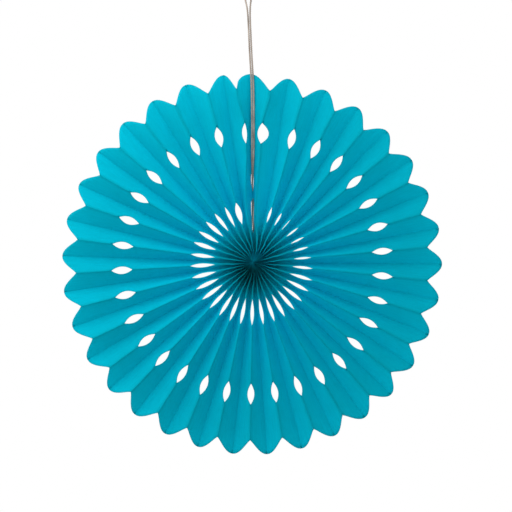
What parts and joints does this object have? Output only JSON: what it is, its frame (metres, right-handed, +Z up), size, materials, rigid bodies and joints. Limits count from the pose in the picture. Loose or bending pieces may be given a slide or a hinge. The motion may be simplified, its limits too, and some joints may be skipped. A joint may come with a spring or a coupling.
{
  "type": "hanging paper fan",
  "caption": "Round accordion-folded paper fan with a scalloped rim and two rings of almond-shaped cut-outs, hung on a doubled twine.",
  "frame": {"origin": "middle of the hub, on the fan's axis and half way through its depth", "axes": "+Z up, the front of the fan looks along -Y, the fan's axis lies along Y"},
  "size_m": [0.3999, 0.0292, 0.4932],
  "materials": {
    "teal_paper": "thin dyed paper, matt, lets light through",
    "tie_thread": "dyed thread, matt",
    "twine": "undyed two-ply twine, matt"
  },
  "bodies": {
    "root": {"paper_fan": "teal_paper", "centre_tie": "tie_thread", "hub_knot": "twine", "hanging_cord": "twine"}
  },
  "joints": []
}
